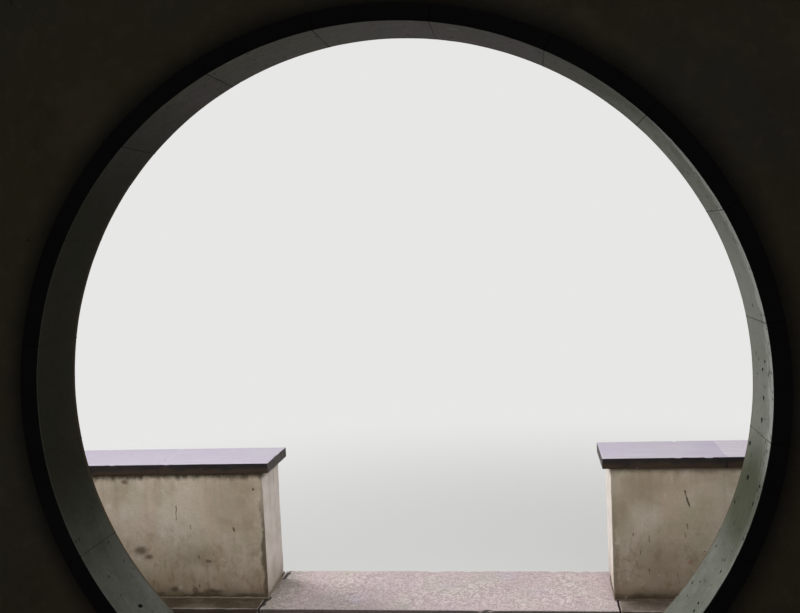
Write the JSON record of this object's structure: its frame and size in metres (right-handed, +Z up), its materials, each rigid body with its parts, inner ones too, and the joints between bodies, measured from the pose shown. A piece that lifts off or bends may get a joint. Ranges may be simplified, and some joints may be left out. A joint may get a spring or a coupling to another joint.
{
  "type": "moon gate",
  "caption": "Moon gate: a plastered wall with a round brick-lined opening on a low stone podium, with capped seat walls and a granite step slab beyond it.",
  "frame": {"origin": "on the ground, under the middle of the round opening and in the gate wall's middle plane", "axes": "+X to the right as seen through the gate from the near side, +Y from the near side through the opening towards the seat walls, +Z up"},
  "size_m": [3.04, 1.671, 2.66],
  "materials": {
    "wall_plaster": "aged greyed lime plaster, matt",
    "seat_plaster": "stained and cracked off-white lime plaster, matt",
    "lining_brick": "rubbed grey brick, satin, worn lighter at the edge",
    "slab_brick": "dark purple-grey brick slab, worn smooth on top",
    "granite": "tooled pinkish-grey granite",
    "floor_tile": "matt grey floor brick",
    "core_brick": "rough grey brick"
  },
  "bodies": {
    "root": {"podium_core": "core_brick", "floor_bed": "floor_tile", "threshold": "granite", "step_left": "granite", "step_middle": "granite", "step_right": "granite", "kerb_left": "granite", "kerb_slab": "granite", "kerb_right": "granite", "wall_left_pier": "wall_plaster", "wall_right_pier": "wall_plaster", "wall_crown": "wall_plaster", "wall_upper_left": "wall_plaster", "wall_upper_right": "wall_plaster", "wall_lower_left": "wall_plaster", "wall_lower_right": "wall_plaster", "lining_01": "lining_brick", "lining_02": "lining_brick", "lining_03": "lining_brick", "lining_04": "lining_brick", "lining_05": "lining_brick", "lining_06": "lining_brick", "lining_07": "lining_brick", "lining_08": "lining_brick", "lining_09": "lining_brick", "lining_10": "lining_brick", "lining_11": "lining_brick", "lining_12": "lining_brick", "lining_13": "lining_brick", "lining_14": "lining_brick", "lining_15": "lining_brick", "lining_16": "lining_brick", "lining_17": "lining_brick", "lining_18": "lining_brick", "lining_19": "lining_brick", "seat_wall_left": "seat_plaster", "seat_wall_right": "seat_plaster", "cap_left_1": "slab_brick", "cap_left_2": "slab_brick", "cap_right_1": "slab_brick", "cap_right_2": "slab_brick", "coping": "slab_brick"}
  },
  "joints": []
}
